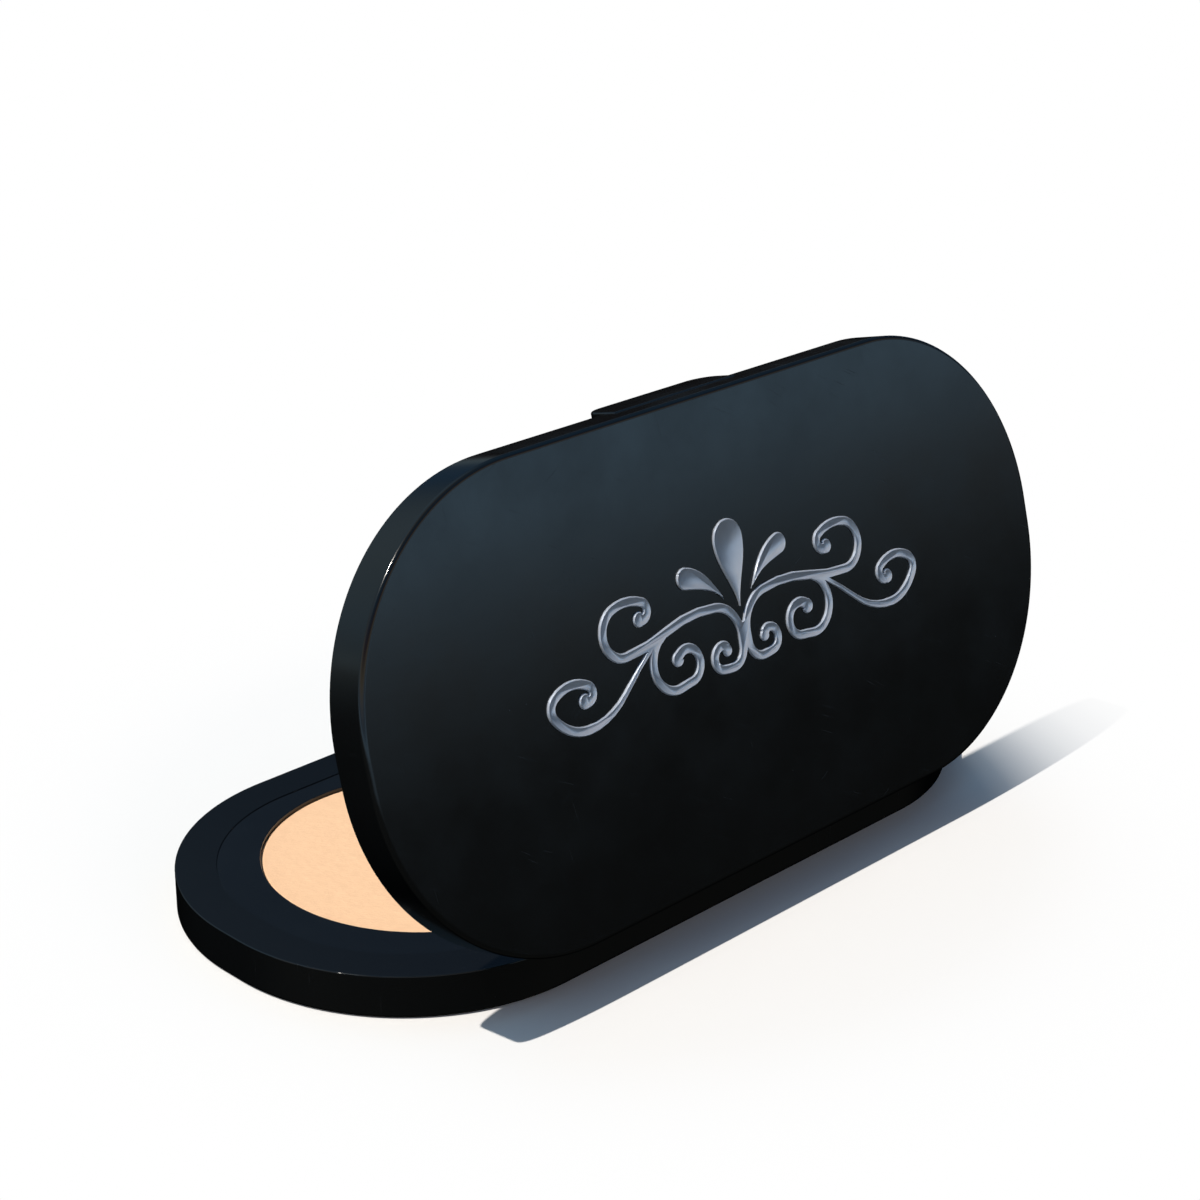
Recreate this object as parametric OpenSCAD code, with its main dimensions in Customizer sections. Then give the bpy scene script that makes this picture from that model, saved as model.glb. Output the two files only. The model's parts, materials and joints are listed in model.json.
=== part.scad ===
// Powder compact: a flat black case with round ends, a pressed-powder pan,
// a puff, a mirrored lid on a two-pin hinge and a scroll ornament.
// Millimetres. +Z up. X runs along the case, the hinge is at +Y, the catch at -Y.
// The origin is the centre of the underside.

/* [Case] */
// Overall length of the case
case_l = 100; // [88:0.5:130]
// Width of the case from catch to hinge
case_w = 49.5; // [47:0.5:65]
// Straight part of each round end
end_flat = 2.9; // [1:0.1:10]
// Height of the base
base_h = 4.8; // [4.6:0.1:8]
// Height of the lid
lid_h = 4.8; // [4.4:0.1:8]
// Gap between base and lid when closed
part_gap = 0.15; // [0.1:0.05:0.4]
// Side wall of base and lid
wall = 1.6; // [1.5:0.1:2.2]
// Rounding of the outer edges
edge_r = 0.5; // [0.3:0.05:0.7]
// Rounding of the edges at the parting line
lip_r = 0.25; // [0.1:0.05:0.4]
// How far the lid stands open, in degrees from closed
lid_open = 74.9; // [0:0.1:120]

/* [Base] */
// Width of the flat rim around the tray
rim_w = 4.37; // [3.8:0.01:4.8]
// Thickness of the rim
rim_t = 1.0; // [0.8:0.1:1.2]
// Depth of the tray's top below the rim
tray_step = 0.2; // [0.1:0.05:0.5]
// Thickness of the tray plate
tray_t = 0.9; // [0.8:0.05:1.1]
// Width of the ledge the tray sits on
ledge_w = 0.9; // [0.5:0.1:1]
// Thickness of the ledge
ledge_t = 0.7; // [0.5:0.1:0.9]
// Wall between the rim and the ledge
seat_wall = 0.9; // [0.7:0.1:1.2]
// Thickness of the bottom cover
cover_t = 0.9; // [0.7:0.05:1]
// Inset of the rebate that takes the bottom cover
cover_inset = 0.75; // [0.7:0.05:1]
// Diameter of the blank label under the base
label_d = 24; // [12:1:30]
// Thickness of the label
label_t = 0.12; // [0.08:0.02:0.2]

/* [Powder and puff] */
// Distance of each well from the middle of the case
well_x = 23.5; // [20:0.1:30]
// Outer diameter of the powder pan
pan_d = 36.5; // [28:0.1:37]
// Sheet thickness of the pan
pan_t = 0.3; // [0.2:0.05:0.5]
// How far the tray's lip covers the pan's rim
lip_cover = 0.5; // [0.4:0.05:0.8]
// Thickness of that lip
lip_t = 0.5; // [0.4:0.05:0.6]
// Side wall of both wells
well_wall = 0.7; // [0.5:0.05:0.8]
// Depth of the powder's surface below the tray
powder_drop = 0.25; // [0.1:0.05:0.6]
// Diameter of the puff
puff_d = 34.6; // [24:0.1:35]
// Thickness of the puff's pad
pad_t = 4.0; // [3:0.1:4.1]
// Width of the ribbon across the puff
ribbon_w = 10; // [6:0.5:14]

/* [Hinge and catch] */
// How far the hinge axis lies outside the rear wall
hinge_out = 0.13; // [0:0.01:0.3]
// Height of the hinge axis above the base's rim
hinge_up = 0.33; // [0.2:0.01:0.5]
// Outer diameter of the knuckles
knuckle_d = 2.4; // [2.2:0.1:2.6]
// Diameter of the hinge pins
pin_d = 1.0; // [0.8:0.05:1.2]
// Length of the lid's middle knuckle
mid_knuckle = 19.6; // [12:0.2:26]
// Length of each base knuckle
side_knuckle = 6; // [4:0.5:10]
// Width of the catch tab
tab_w = 18; // [12:0.5:24]
// How far the tab hangs below the lid
tab_drop = 3.5; // [3:0.1:3.6]
// Thickness of the tab
tab_t = 1.0; // [0.8:0.05:1.05]
// Radius of the tab's lower corners
tab_r = 2.6; // [1:0.1:3]

/* [Mirror] */
// Thickness of the lid's top plate
lid_top = 1.2; // [1:0.1:1.5]
// Width of the bezel around the mirror, measured from the outer edge
bezel_w = 6.3; // [5:0.1:8]
// Thickness of the bezel plate
bezel_t = 0.8; // [0.6:0.05:1]
// Thickness of the mirror glass
mirror_t = 1.1; // [0.9:0.1:1.3]
// Thickness of the foam tape behind the mirror
tape_t = 0.6; // [0.3:0.1:0.8]

/* [Ornament] */
// Height of the ornament above the lid
relief = 0.25; // [0.15:0.05:0.5]
// Width of the scroll strands
strand_w = 1.0; // [0.7:0.05:1.2]
// Radius of the round ends of the strands
curl_r = 0.8; // [0.6:0.02:0.9]
// Sideways place of the ornament on the lid
ornament_x = -0.4; // [-2:0.1:2]

/* [Hidden] */
$fn = 96;

// Clearances
running = 0.04;      // pin in the lid's knuckle, radial
pressed = 0.01;      // pin in the base's knuckles, radial
drop_in = 0.08;      // parts that drop into a rebate, each side
pan_gap = 0.1;       // pan in its well, radial
puff_gap = 0.45;     // puff in its well, radial
knuckle_gap = 0.2;   // knuckle in the other part's notch, radial and at its ends
tab_gap = 0.25;      // tab in the base's front notch
powder_gap = 0.2;    // powder inside the tray's lip, radial
label_gap = 0.4;     // label in its recess, on the diameter
label_sink = 0.06;   // label above the surface the base stands on
over = 1;            // extra length of a cut past a face

// Outline
corner_r = (case_w - end_flat) / 2;
corner_x = case_l / 2 - corner_r;
corner_y = end_flat / 2;

// Heights in the base
tray_top = base_h - tray_step;
tray_z = tray_top - tray_t;
ledge_z = tray_z - ledge_t;
tray_lift = 0.05;    // gap between the wells and the bottom cover
floor_t = 0.9;       // floor of the puff well
well_floor = cover_t + tray_lift + floor_t;
glue_t = 0.1;        // adhesive under the pan
rim_gap = 0.05;      // pan's rim below the tray's lip
puff_rest = 0.05;    // puff above the floor of its well
back_t = 0.3;        // puff's satin back
ribbon_t = 0.3;      // ribbon
post_r = 1.6;        // posts of the bottom cover
peg_r = 0.8;         // pegs of the tray, which enter the posts
peg_l = 1.8;
post_y = case_w / 4;
pan_z = cover_t + glue_t;
pan_top = tray_top - lip_t - rim_gap;
open_r = pan_d / 2 - lip_cover;
puff_well_r = puff_d / 2 + puff_gap;

// Puff
pad_z = well_floor + puff_rest;
pad_edge = pad_t / 3;
back_d = puff_d - 2 * pad_edge;

// Heights in the closed lid
lid_z = base_h + part_gap;
lid_top_z = lid_z + lid_h;
roof_z = lid_top_z - lid_top;
tape_z = roof_z - tape_t;
mirror_z = tape_z - mirror_t;
lip_rise = 0.7;      // inner lip of the bezel, up to the mirror
bezel_z = mirror_z - lip_rise - bezel_t;
bezel_lip = 0.8;     // width of that lip
bezel_wall = 0.9;    // outer wall of the bezel
mirror_under = 1.1;  // how far the mirror reaches under the bezel

// Hinge
hinge_y = case_w / 2 + hinge_out;
hinge_z = base_h + hinge_up;
knuckle_r = knuckle_d / 2;
side_in = mid_knuckle / 2 + knuckle_gap;
side_out = side_in + side_knuckle;
pin_hold = 6;        // length of each pin inside the lid's knuckle

// Catch
tab_proud = 0.1;
tab_root = 1.6;      // height of the tab on the lid's front wall
bead_r = 0.25;       // groove in the tab; the bead on the base is bead_gap smaller
bead_gap = 0.05;
bead_down = 2.4;     // catch bead below the rim
tab_in = -case_w / 2 - tab_proud + tab_t;   // inner face of the tab

// ---- Shapes shared by several pieces ----

// Plan outline of the case, moved inwards
module outline(inset) {
    r = corner_r - inset;
    for (sx = [-1, 1], sy = [-1, 1])
        translate([sx * corner_x, sy * corner_y]) circle(r);
    square([2 * corner_x, 2 * (corner_y + r)], center = true);
    square([2 * (corner_x + r), 2 * corner_y], center = true);
}

// Straight-sided block of that outline between two heights
module prism(inset, z0, z1) {
    translate([0, 0, z0]) linear_extrude(z1 - z0) outline(inset);
}

// Half section with rounded lower and upper outer edge
module half_section(r, h, low, high) {
    translate([0, low]) square([r, h - low - high]);
    square([r - low, h / 2]);
    translate([0, h / 2]) square([r - high, h / 2]);
    translate([r - low, low]) circle(low);
    translate([r - high, h - high]) circle(high);
}

// The same section on both sides of the middle line
module full_section(r, h, low, high) {
    half_section(r, h, low, high);
    mirror([1, 0]) half_section(r, h, low, high);
}

// Block of the case's outline with rounded edges
module slab(z0, h, low, high) {
    translate([0, 0, z0]) {
        for (sx = [-1, 1], sy = [-1, 1])
            translate([sx * corner_x, sy * corner_y, 0])
                rotate_extrude() intersection() {
                    half_section(corner_r, h, low, high);
                    square([corner_r, h]);
                }
        rotate([90, 0, 90]) translate([0, 0, -corner_x])
            linear_extrude(2 * corner_x) full_section(case_w / 2, h, low, high);
        rotate([90, 0, 0]) translate([0, 0, -corner_y])
            linear_extrude(2 * corner_y) full_section(case_l / 2, h, low, high);
    }
}

// Round bar along X about the hinge axis
module hinge_bar(r, x0, x1) {
    translate([x0, hinge_y, hinge_z]) rotate([0, 90, 0]) cylinder(r = r, h = x1 - x0);
}

// One knuckle with its gusset to the wall; side is -1 below the axis, 1 above it
module knuckle(x0, x1, side) {
    hinge_bar(knuckle_r, x0, x1);
    t = knuckle_r * cos(45);
    wall_y = case_w / 2;
    foot = 2 * t + hinge_y - wall_y;
    root = wall_y - wall / 2;
    translate([x0, 0, 0]) rotate([90, 0, 90]) linear_extrude(x1 - x0) polygon([
        [root, hinge_z + side * foot], [wall_y, hinge_z + side * foot],
        [hinge_y + t, hinge_z + side * t], [hinge_y, hinge_z],
        [root, hinge_z + side * hinge_up]]);
}

// Face of the catch tab, seen from the front; grow makes the notch that takes it
module tab_face(grow) {
    w = tab_w / 2 + grow;
    low = lid_z - tab_drop - grow;
    high = lid_z + tab_root;
    translate([-w, low + tab_r]) square([2 * w, high - low - tab_r]);
    translate([-w + tab_r, low]) square([2 * (w - tab_r), tab_r + 0.1]);
    for (s = [-1, 1]) translate([s * (w - tab_r), low + tab_r]) circle(tab_r);
}

// A plate of some outline standing on the front, between two depths
module front_plate(y0, y1) {
    translate([0, y1, 0]) rotate([90, 0, 0]) linear_extrude(y1 - y0) children();
}

// Puts a closed-lid piece where the open lid stands
module on_lid() {
    translate([0, hinge_y, hinge_z]) rotate([-lid_open, 0, 0])
        translate([0, -hinge_y, -hinge_z]) children();
}

// ---- Ornament curves ----
// A strand is a start place, a start heading and a list of [radius, turn] arcs.

// End of one arc, as [x, y, heading]
function arc_end(p, r, turn) =
    let (s = sign(turn))
    [p.x + s * r * (sin(p.z + turn) - sin(p.z)), p.y - s * r * (cos(p.z + turn) - cos(p.z)), p.z + turn];

// Points along one arc, without its first
function arc_points(p, r, turn) =
    let (n = max(2, ceil(abs(turn) / 9)))
    [for (i = [1:n]) arc_end(p, r, turn * i / n)];

// Points along a whole chain of arcs
function chain(p, arcs, i = 0) =
    i == len(arcs) ? [p]
    : concat([p], arc_points(p, arcs[i].x, arcs[i].y),
             tail(chain(arc_end(p, arcs[i].x, arcs[i].y), arcs, i + 1)));
function tail(list) = [for (i = [1:1:len(list) - 1]) list[i]];

// Half width at t, from 0 at the start to 1 at the end: thin is the share it starts with,
// and the last fifth grows a little wider
function half_w(t, thin) = strand_w / 2 * (thin + (1 - thin) * min(1, t * 7)) * (1 + max(0, t - 0.8));
function side_points(path, s, thin) = [for (i = [0:len(path) - 1])
    let (p = path[i], w = s * half_w(i / (len(path) - 1), thin))
    [p.x - w * sin(p.z), p.y + w * cos(p.z)]];
function flip(list) = [for (i = [len(list) - 1:-1:0]) list[i]];

// Round end of a strand, set a little ahead of its tip and to the inside of the last curl
function end_cap(tip, bend, r) =
    let (ahead = 0.45 * r, lean = bend * 0.15 * r,
         c = [tip.x + ahead * cos(tip.z) - lean * sin(tip.z),
              tip.y + ahead * sin(tip.z) + lean * cos(tip.z)])
    [for (a = [120 + 5 * bend : -10 : -120 + 5 * bend])
        [c.x + r * cos(tip.z + a), c.y + r * sin(tip.z + a)]];

module strand(start, arcs, thin, end_r) {
    path = chain(start, arcs);
    cap = end_cap(path[len(path) - 1], sign(arcs[len(arcs) - 1].y), end_r);
    polygon(concat(side_points(path, 1, thin), cap, flip(side_points(path, -1, thin))));
}

// A drop: pointed at the start, round at the far end
function drop_half(t, r) = r * pow(sin(90 * t), 1.6);
module petal(start, arc, r) {
    n = 18;
    path = [for (i = [0:n]) arc_end(start, arc.x, arc.y * i / n)];
    right = [for (i = [0:n]) let (w = drop_half(i / n, r), p = path[i])
        [p.x + w * sin(p.z), p.y - w * cos(p.z)]];
    left = [for (i = [n:-1:1]) let (w = drop_half(i / n, r), p = path[i])
        [p.x - w * sin(p.z), p.y + w * cos(p.z)]];
    polygon(concat(right, left));
    translate([path[n].x, path[n].y]) circle(r);
}

// Half of the scrollwork: the long upper strand, the small curl at its foot,
// the middle curl and the outer curl
module half_scroll() {
    strand([0.42, -0.9, 92],
           [[3.8, -83], [17, -25], [23, 15], [2.6, 164], [5.6, 44], [0.9, 156]], 1, curl_r);
    strand([0.42, 0.6, -91], [[36, 4], [1.9, 87], [7.3, 12], [1.25, 166], [0.8, 60]], 1, 0.8 * curl_r);
    strand([8.8, 3.15, -12], [[10.7, -19], [2.95, -160], [14, 6], [1.75, -214]], 0.45, curl_r);
    strand([12.9, 1.9, -34],
           [[60, -6], [8.3, 41], [5.2, 55], [1.4, 91], [4.3, 67], [0.8, 150]], 0.45, curl_r);
}

// Places a flat ornament shape on the lid's outer face, its top towards the catch
module on_face() {
    on_lid() translate([ornament_x, 0, lid_top_z]) rotate([0, 0, 180])
        linear_extrude(relief) children();
}

// ---- Base ----

module base_housing() {
    color([0.05, 0.06, 0.08]) difference() {
        union() {
            difference() {
                slab(0, base_h, edge_r, lip_r);
                // recess the tray drops into, and the clear way inside its ledge
                prism(rim_w, tray_z, base_h + over);
                prism(rim_w + ledge_w, -over, base_h);
                // rebate for the bottom cover
                prism(cover_inset, -over, cover_t);
                // hollow between the side wall and the tray's seat
                difference() {
                    prism(wall, 0, base_h - rim_t);
                    prism(rim_w - seat_wall, ledge_z, base_h);
                }
                // notch for the catch tab
                front_plate(-case_w / 2 - over, tab_in + tab_gap) tab_face(tab_gap);
            }
            for (s = [-1, 1]) knuckle(min(s * side_in, s * side_out), max(s * side_in, s * side_out), -1);
            // catch bead in the notch
            translate([-tab_w / 4, tab_in + tab_gap, base_h - bead_down])
                rotate([0, 90, 0]) cylinder(r = bead_r - bead_gap, h = tab_w / 2);
        }
        // notch for the lid's knuckle and the bores for the pins
        hinge_bar(knuckle_r + knuckle_gap, -side_in, side_in);
        hinge_bar(pin_d / 2 + pressed, -side_out - over, side_out + over);
    }
}

module bottom_cover() {
    color([0.07, 0.08, 0.10]) difference() {
        union() {
            prism(cover_inset + drop_in, 0, cover_t);
            for (s = [-1, 1]) translate([0, s * post_y, 0]) cylinder(r = post_r, h = tray_z);
        }
        for (s = [-1, 1]) translate([0, s * post_y, cover_t]) cylinder(r = peg_r + rim_gap, h = tray_z);
        translate([-well_x, 0, -over]) cylinder(d = label_d + label_gap, h = over + label_t + label_sink);
    }
}

module bottom_label() {
    color([0.85, 0.85, 0.83]) translate([-well_x, 0, label_sink]) cylinder(d = label_d, h = label_t);
}

module inner_tray() {
    well_r = pan_d / 2 + pan_gap;
    skirt_z = cover_t + tray_lift;
    skirt_h = tray_top - tray_t / 2 - skirt_z;
    color([0.06, 0.07, 0.09]) difference() {
        union() {
            prism(rim_w + drop_in, tray_z, tray_top);
            translate([well_x, 0, skirt_z]) cylinder(r = well_r + well_wall, h = skirt_h);
            translate([-well_x, 0, skirt_z]) cylinder(r = puff_well_r + well_wall, h = skirt_h);
            for (s = [-1, 1]) translate([0, s * post_y, tray_z - peg_l])
                cylinder(r = peg_r, h = peg_l + tray_t / 2);
        }
        // powder well: the pan is loaded from below, behind the lip
        translate([well_x, 0, -over]) cylinder(r = open_r, h = base_h + 2 * over);
        translate([well_x, 0, -over]) cylinder(r = well_r, h = tray_top - lip_t + over);
        // puff well: a cup with a floor
        translate([-well_x, 0, well_floor]) cylinder(r = puff_well_r, h = base_h);
    }
}

module powder_pan() {
    color([0.75, 0.76, 0.78]) translate([well_x, 0, 0]) difference() {
        translate([0, 0, pan_z]) cylinder(d = pan_d, h = pan_top - pan_z);
        translate([0, 0, pan_z + pan_t]) cylinder(d = pan_d - 2 * pan_t, h = base_h);
    }
}

module pan_adhesive() {
    color([0.9, 0.88, 0.75]) translate([well_x, 0, cover_t]) cylinder(d = pan_d / 2, h = glue_t);
}

module powder_cake() {
    color([0.93, 0.72, 0.53]) translate([well_x, 0, 0]) {
        translate([0, 0, pan_z + pan_t])
            cylinder(d = pan_d - 2 * pan_t, h = pan_top - pan_z - pan_t);
        translate([0, 0, pan_top])
            cylinder(r = open_r - powder_gap, h = tray_top - powder_drop - pan_top);
    }
}

module hinge_pin_left() {
    color([0.7, 0.7, 0.72]) hinge_bar(pin_d / 2, -side_out, -mid_knuckle / 2 + pin_hold);
}

module hinge_pin_right() {
    color([0.7, 0.7, 0.72]) hinge_bar(pin_d / 2, mid_knuckle / 2 - pin_hold, side_out);
}

// ---- Lid ----

module lid_shell() {
    color([0.05, 0.06, 0.08]) on_lid() difference() {
        union() {
            difference() {
                slab(lid_z, lid_h, lip_r, edge_r);
                prism(wall, lid_z - over, roof_z);
            }
            knuckle(-mid_knuckle / 2, mid_knuckle / 2, 1);
            front_plate(tab_in - tab_t, tab_in) tab_face(0);
        }
        // notches for the base's knuckles and the bore for the pins
        for (s = [-1, 1]) hinge_bar(knuckle_r + knuckle_gap,
            min(s * mid_knuckle / 2, s * (side_out + knuckle_gap)),
            max(s * mid_knuckle / 2, s * (side_out + knuckle_gap)));
        hinge_bar(pin_d / 2 + running, -mid_knuckle, mid_knuckle);
        // groove over the catch bead
        translate([-tab_w / 4 - bead_r, tab_in + 2 * bead_gap, base_h - bead_down])
            rotate([0, 90, 0]) cylinder(r = bead_r, h = tab_w / 2 + 2 * bead_r);
    }
}

module mirror_frame() {
    color([0.07, 0.08, 0.10]) on_lid() difference() {
        prism(wall + drop_in, bezel_z, roof_z);
        prism(bezel_w, bezel_z - over, roof_z + over);
        difference() {
            prism(wall + drop_in + bezel_wall, bezel_z + bezel_t, roof_z + over);
            prism(bezel_w - bezel_lip, bezel_z, mirror_z);
        }
    }
}

module mirror_glass() {
    color([0.8, 0.85, 0.9]) on_lid() prism(bezel_w - mirror_under, mirror_z, mirror_z + mirror_t);
}

module mirror_adhesive() {
    color([0.9, 0.9, 0.9]) on_lid() prism(bezel_w, tape_z, roof_z);
}

module scrollwork() {
    color([0.66, 0.70, 0.78]) on_face() {
        half_scroll();
        mirror([1, 0]) half_scroll();
    }
}

module drop_centre() {
    color([0.66, 0.70, 0.78]) on_face() {
        petal([0, 2.2, 90], [200, 2.05], 2.15);
    }
}

module drop_right() {
    color([0.66, 0.70, 0.78]) on_face() petal([2.1, 3.5, 56], [8.6, -42], 1.15);
}

module drop_left() {
    color([0.66, 0.70, 0.78]) on_face() mirror([1, 0]) petal([2.1, 3.5, 56], [8.6, -42], 1.15);
}

// ---- Puff ----

module puff_pad() {
    color([0.93, 0.88, 0.82]) translate([-well_x, 0, pad_z]) rotate_extrude()
        intersection() {
            half_section(puff_d / 2, pad_t, pad_edge, pad_edge);
            square([puff_d / 2, pad_t]);
        }
}

module puff_back() {
    color([0.90, 0.86, 0.80]) translate([-well_x, 0, pad_z + pad_t]) cylinder(d = back_d, h = back_t);
}

module puff_ribbon() {
    color([0.95, 0.93, 0.90]) translate([-well_x, 0, pad_z + pad_t + back_t]) intersection() {
        cylinder(d = back_d, h = ribbon_t);
        translate([-puff_d / 2, -ribbon_w / 2, 0]) cube([puff_d, ribbon_w, ribbon_t]);
    }
}

base_housing();
bottom_cover();
bottom_label();
inner_tray();
powder_pan();
pan_adhesive();
powder_cake();
hinge_pin_left();
hinge_pin_right();
lid_shell();
mirror_frame();
mirror_glass();
mirror_adhesive();
scrollwork();
drop_centre();
drop_left();
drop_right();
puff_pad();
puff_back();
puff_ribbon();
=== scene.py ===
# %% [markdown]
# # A powder compact, finished in Blender
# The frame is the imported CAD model: a base, a lid on a hinge and a loose puff.
# It already has the right sizes and joints. This lesson gives it the looks.
# Each visible part is modelled again with softer edges and finer detail,
# and it rides on the same body, so that it moves as the CAD part does.

# %% Load the frame
import json
import math

import bmesh
import bpy
import numpy as np
from mathutils import Matrix, Vector, noise


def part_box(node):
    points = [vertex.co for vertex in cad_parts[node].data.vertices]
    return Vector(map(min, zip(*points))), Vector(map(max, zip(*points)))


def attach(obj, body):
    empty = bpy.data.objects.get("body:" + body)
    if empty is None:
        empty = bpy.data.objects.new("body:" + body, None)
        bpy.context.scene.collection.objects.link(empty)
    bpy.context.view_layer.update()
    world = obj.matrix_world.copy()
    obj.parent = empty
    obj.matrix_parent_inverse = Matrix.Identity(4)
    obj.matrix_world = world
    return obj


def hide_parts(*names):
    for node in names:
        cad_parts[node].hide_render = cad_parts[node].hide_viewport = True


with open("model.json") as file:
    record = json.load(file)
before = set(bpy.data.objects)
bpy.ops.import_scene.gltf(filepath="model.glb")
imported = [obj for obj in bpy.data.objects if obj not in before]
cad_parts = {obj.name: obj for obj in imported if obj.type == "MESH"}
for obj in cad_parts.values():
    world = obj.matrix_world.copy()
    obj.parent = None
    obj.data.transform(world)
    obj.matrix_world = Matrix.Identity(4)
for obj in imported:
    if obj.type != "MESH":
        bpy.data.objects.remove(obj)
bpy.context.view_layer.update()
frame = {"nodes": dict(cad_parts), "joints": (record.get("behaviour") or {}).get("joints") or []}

# %% [markdown]
# ## Sizes
# The pieces are modelled in millimetres, because bevels of half a millimetre are
# easier to read that way, and each one is scaled to metres at the end.
# What the frame can tell is measured on it. The rest repeats the CAD model's values.

# %% Sizes in millimetres
MM = 0.001


def box_mm(node):
    """Lowest and highest corner of a CAD node, in millimetres."""
    return [[v / MM for v in corner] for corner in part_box(node)]


tray_box, cake_box, pad_box = box_mm("inner_tray"), box_mm("powder_cake"), box_mm("puff_pad")
case_l = box_mm("base_housing")[1][0] * 2
case_w = -box_mm("base_housing")[0][1] * 2
end_flat = 2.9
corner_r = (case_w - end_flat) / 2
base_h, lid_h, part_gap = 4.8, 4.8, 0.15
wall, edge_r, lip_r = 1.6, 0.5, 0.25
rim_w, drop_in, ledge_w, cover_inset = 4.37, 0.08, 0.9, 0.75
cover_t = 0.9
tray_top, tray_t = tray_box[1][2], 0.9
tray_z = tray_top - tray_t
tray_face = tray_top + 0.12
lid_z = base_h + part_gap
lid_top_z = lid_z + lid_h
roof_z = lid_top_z - 1.2
mirror_t = 1.1
mirror_z = roof_z - 0.6 - mirror_t
bezel_w, bezel_z, mirror_under = 6.3, mirror_z - 1.5, 1.1
well_x = (cake_box[0][0] + cake_box[1][0]) / 2
open_r, pan_r, well_wall = 17.75, 18.25, 0.7
puff_x, puff_r = (pad_box[0][0] + pad_box[1][0]) / 2, (pad_box[1][0] - pad_box[0][0]) / 2
hinge = next(j for j in frame["joints"] if j["name"] == "lid_hinge")
hinge_y, hinge_z = hinge["pos_m"][1] / MM, hinge["pos_m"][2] / MM
lid_open = -math.radians(hinge["range_deg"][0])
knuckle_r, knuckle_gap = 1.2, 0.2
mid_knuckle, side_in, side_out = 19.6, 10.0, 16.0
tab_w, tab_drop, tab_t, tab_r, tab_gap, tab_proud = 18.0, 3.5, 1.0, 2.6, 0.25, 0.1
relief = 0.25
print("case", round(case_l, 2), "x", round(case_w, 2), "mm, lid open", round(math.degrees(lid_open), 1), "degrees")

# %% [markdown]
# ## Camera
# The view is from behind the hinge, a little above the lid's edge. The lens is
# about 76 mm, so that the case's round ends keep their shape.

# %% Camera
def make_camera():
    data = bpy.data.cameras.new("camera")
    data.sensor_width = 36.0
    data.lens = 76.45
    data.clip_start, data.clip_end = 0.01, 20.0
    cam = bpy.data.objects.new("camera", data)
    bpy.context.scene.collection.objects.link(cam)
    turn, tip, roll = math.radians(45.355), math.radians(22.615), math.radians(0.35)
    ahead = Vector((-math.sin(turn) * math.cos(tip), -math.cos(turn) * math.cos(tip), -math.sin(tip)))
    cam.location = Vector((182.38, 182.63, 134.14)) * MM
    cam.rotation_mode = "QUATERNION"
    cam.rotation_quaternion = ahead.to_track_quat("-Z", "Y") @ Vector((0, 0, 1)).rotation_difference(
        Vector((0, 0, 1)))
    cam.rotation_quaternion = cam.rotation_quaternion @ Matrix.Rotation(roll, 4, "Z").to_quaternion()
    bpy.context.scene.camera = cam
    return cam


camera = make_camera()
print("camera at", [round(v, 3) for v in camera.location])

# %% [markdown]
# ## Floor and light
# Black gloss plastic shows mostly what it mirrors, so the sky is drawn with care:
# a bright haze just above the horizon, a deep blue band above that, a broad bright
# top like a softbox, and nothing below the horizon. The floor is pale, and from
# about 47 mm out it glows white, painted light that fades the case's shadows away.
# It is hidden from reflections, which keeps the lower half of the lid deep black.
# One warm sun with a small disc gives the crisp slanting shadow.

# %% Floor, sky and sun
def make_floor():
    """A pale disc that is lit near the case and turns into plain white further out, a painted glow that fades the
    shadows.
    """
    bpy.ops.object.select_all(action="DESELECT")
    bpy.ops.mesh.primitive_circle_add(vertices=128, radius=3.0, fill_type="NGON", location=(0, 0, 0))
    floor = bpy.context.object
    floor.name = "floor"
    floor.visible_glossy = floor.visible_diffuse = False
    mat = bpy.data.materials.new("pale_floor")
    mat.use_nodes = True
    nodes, links = mat.node_tree.nodes, mat.node_tree.links
    shader = nodes["Principled BSDF"]
    shader.inputs["Base Color"].default_value = (0.86, 0.86, 0.86, 1)
    shader.inputs["Roughness"].default_value = 1.0
    shader.inputs["Specular IOR Level"].default_value = 0.0
    # painted light: a white glow, mixed in from 47 mm out and full past 76 mm, fades the case's shadows on the floor
    white = nodes.new("ShaderNodeEmission")
    white.inputs["Color"].default_value = (1, 1, 1, 1)
    coords = nodes.new("ShaderNodeTexCoord")
    reach = nodes.new("ShaderNodeVectorMath")
    reach.operation = "LENGTH"
    links.new(coords.outputs["Object"], reach.inputs[0])
    to_unit = nodes.new("ShaderNodeMapRange")
    to_unit.inputs["From Max"].default_value = 0.1
    links.new(reach.outputs["Value"], to_unit.inputs["Value"])
    fade = nodes.new("ShaderNodeValToRGB")
    stops = [(0.47, 0.0), (0.50, 0.07), (0.54, 0.32), (0.577, 0.57), (0.61, 0.73), (0.65, 0.86), (0.70, 0.94),
             (0.76, 1.0)]
    fade.color_ramp.elements.remove(fade.color_ramp.elements[1])
    for i, (place, level_) in enumerate(stops):
        stop = fade.color_ramp.elements[0] if i == 0 else fade.color_ramp.elements.new(place)
        stop.position, stop.color = place, (level_, level_, level_, 1)
    links.new(to_unit.outputs[0], fade.inputs[0])
    mix = nodes.new("ShaderNodeMixShader")
    links.new(fade.outputs[0], mix.inputs[0])
    links.new(shader.outputs[0], mix.inputs[1])
    links.new(white.outputs[0], mix.inputs[2])
    links.new(mix.outputs[0], nodes["Material Output"].inputs["Surface"])
    floor.data.materials.append(mat)
    return floor


def sky_ramp(nodes, stops):
    """Colours against the sine of the height above the horizon; stored at half strength."""
    ramp = nodes.new("ShaderNodeValToRGB")
    ramp.color_ramp.elements.remove(ramp.color_ramp.elements[1])
    for i, (height, tint) in enumerate(stops):
        place = (height + 1) / 2
        stop = ramp.color_ramp.elements[0] if i == 0 else ramp.color_ramp.elements.new(place)
        stop.position = place
        stop.color = (*[v / 2 for v in tint], 1)
    return ramp


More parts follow.
